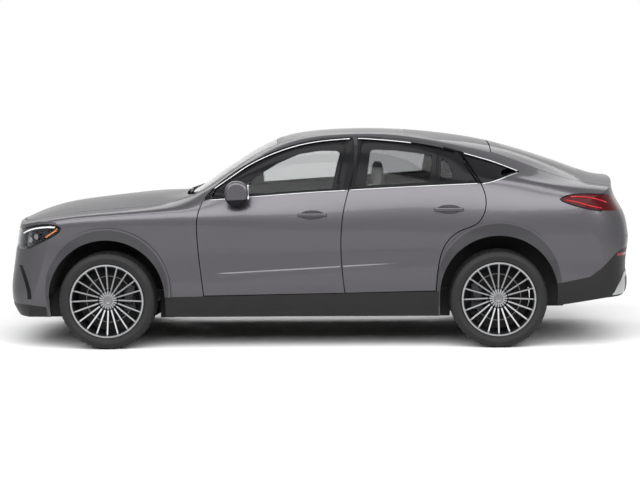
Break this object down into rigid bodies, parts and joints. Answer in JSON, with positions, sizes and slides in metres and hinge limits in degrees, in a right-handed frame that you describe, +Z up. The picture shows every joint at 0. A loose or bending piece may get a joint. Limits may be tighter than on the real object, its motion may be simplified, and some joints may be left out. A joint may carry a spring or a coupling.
{
  "type": "sport utility vehicle",
  "caption": "Coupe-style sport utility vehicle with a fastback roof, flared wheel arches, opening doors, hood and tailgate, steered front wheels and a furnished cabin.",
  "frame": {"origin": "on the ground, on the centre plane, at the middle of the overall length", "axes": "+X forward to the nose, +Y to the left side, +Z up"},
  "size_m": [4.7488, 2.076, 1.6024],
  "materials": {
    "paint": "metallic gloss",
    "dark_trim": "grained",
    "liner": "rough",
    "clear_glass": "clear",
    "dark_glass": "tinted",
    "lamp_clear": "clear",
    "lamp_red": "gloss",
    "tyre": "matte",
    "wheel_silver": "satin",
    "disc_steel": "turned",
    "cast_metal": "rough",
    "exhaust_steel": "satin",
    "underbody": "satin",
    "cabin_plastic": "soft",
    "seat_leather": "soft"
  },
  "bodies": {
    "body": {"arch_liners": "liner", "body_sides": "paint", "dashboard": "cabin_plastic", "engine": "cast_metal", "exhaust": "exhaust_steel", "fenders": "paint", "front_bumper": "paint", "front_seats": "seat_leather", "front_skirt": "dark_trim", "front_subframe": "cast_metal", "grille": "dark_trim", "headlamps": "lamp_clear", "quarter_glass": "dark_glass", "rear_axle": "cast_metal", "rear_bumper": "paint", "rear_seat": "seat_leather", "rear_skirt": "dark_trim", "roof_glass": "dark_glass", "roof_panel": "paint", "sill_trims": "dark_trim", "tail_lamps": "lamp_red", "unibody": "underbody", "windshield": "clear_glass", "wipers": "dark_trim"},
    "hood": {"hood": "paint"},
    "tailgate": {"tailgate": "paint", "tailgate_glass": "dark_glass", "tailgate_lamps": "lamp_red"},
    "door_front_left": {"door_front_left": "paint", "glass_front_left": "clear_glass", "mirror_left": "paint"},
    "door_rear_left": {"door_rear_left": "paint", "glass_rear_left": "dark_glass"},
    "knuckle_left": {"knuckle_left": "cast_metal"},
    "door_front_right": {"door_front_right": "paint", "glass_front_right": "clear_glass", "mirror_right": "paint"},
    "door_rear_right": {"door_rear_right": "paint", "glass_rear_right": "dark_glass"},
    "knuckle_right": {"knuckle_right": "cast_metal"},
    "wheel_front_left": {"tyre_front_left": "tyre", "rim_front_left": "wheel_silver", "brake_disc_front_left": "disc_steel"},
    "wheel_front_right": {"tyre_front_right": "tyre", "rim_front_right": "wheel_silver", "brake_disc_front_right": "disc_steel"},
    "wheel_rear_left": {"tyre_rear_left": "tyre", "rim_rear_left": "wheel_silver", "brake_disc_rear_left": "disc_steel"},
    "wheel_rear_right": {"tyre_rear_right": "tyre", "rim_rear_right": "wheel_silver", "brake_disc_rear_right": "disc_steel"},
    "steering_wheel": {"steering_wheel": "cabin_plastic"}
  },
  "joints": [
    {"name": "hood_hinge", "type": "hinge", "parent": "body", "child": "hood", "pos_m": [0.925, 0, 1.122], "axis": [0, -1, 0], "range_deg": [0, 58]},
    {"name": "tailgate_hinge", "type": "hinge", "parent": "body", "child": "tailgate", "pos_m": [-1.336, 0, 1.481], "axis": [0, 1, 0], "range_deg": [0, 78]},
    {"name": "door_front_left_hinge", "type": "hinge", "parent": "body", "child": "door_front_left", "pos_m": [0.82, 0.926, 0.65], "axis": [0, 0, -1], "range_deg": [0, 66]},
    {"name": "door_rear_left_hinge", "type": "hinge", "parent": "body", "child": "door_rear_left", "pos_m": [-0.237, 0.928, 0.65], "axis": [0, 0, -1], "range_deg": [0, 70]},
    {"name": "door_front_right_hinge", "type": "hinge", "parent": "body", "child": "door_front_right", "pos_m": [0.82, -0.926, 0.65], "axis": [0, 0, 1], "range_deg": [0, 66]},
    {"name": "door_rear_right_hinge", "type": "hinge", "parent": "body", "child": "door_rear_right", "pos_m": [-0.237, -0.928, 0.65], "axis": [0, 0, 1], "range_deg": [0, 70]},
    {"name": "steer_left", "type": "hinge", "parent": "body", "child": "knuckle_left", "pos_m": [1.543, 0.715, 0.361], "axis": [0, 0, 1], "range_deg": [-35, 35]},
    {"name": "steer_right", "type": "hinge", "parent": "body", "child": "knuckle_right", "pos_m": [1.543, -0.715, 0.361], "axis": [0, 0, 1], "range_deg": [-35, 35]},
    {"name": "spin_front_left", "type": "hinge", "parent": "knuckle_left", "child": "wheel_front_left", "pos_m": [1.543, 0.811, 0.361], "axis": [0, 1, 0], "continuous": true},
    {"name": "spin_front_right", "type": "hinge", "parent": "knuckle_right", "child": "wheel_front_right", "pos_m": [1.543, -0.811, 0.361], "axis": [0, 1, 0], "continuous": true},
    {"name": "spin_rear_left", "type": "hinge", "parent": "body", "child": "wheel_rear_left", "pos_m": [-1.345, 0.811, 0.361], "axis": [0, 1, 0], "continuous": true},
    {"name": "spin_rear_right", "type": "hinge", "parent": "body", "child": "wheel_rear_right", "pos_m": [-1.345, -0.811, 0.361], "axis": [0, 1, 0], "continuous": true},
    {"name": "steering_wheel_turn", "type": "hinge", "parent": "body", "child": "steering_wheel", "pos_m": [0.43, 0.37, 0.925], "axis": [-0.9135, 0, 0.4067], "range_deg": [-490, 490]}
  ],
  "couplings": [
    {"joint": "steer_right", "follows": "steer_left", "ratio": 1},
    {"joint": "steering_wheel_turn", "follows": "steer_left", "ratio": 14}
  ]
}
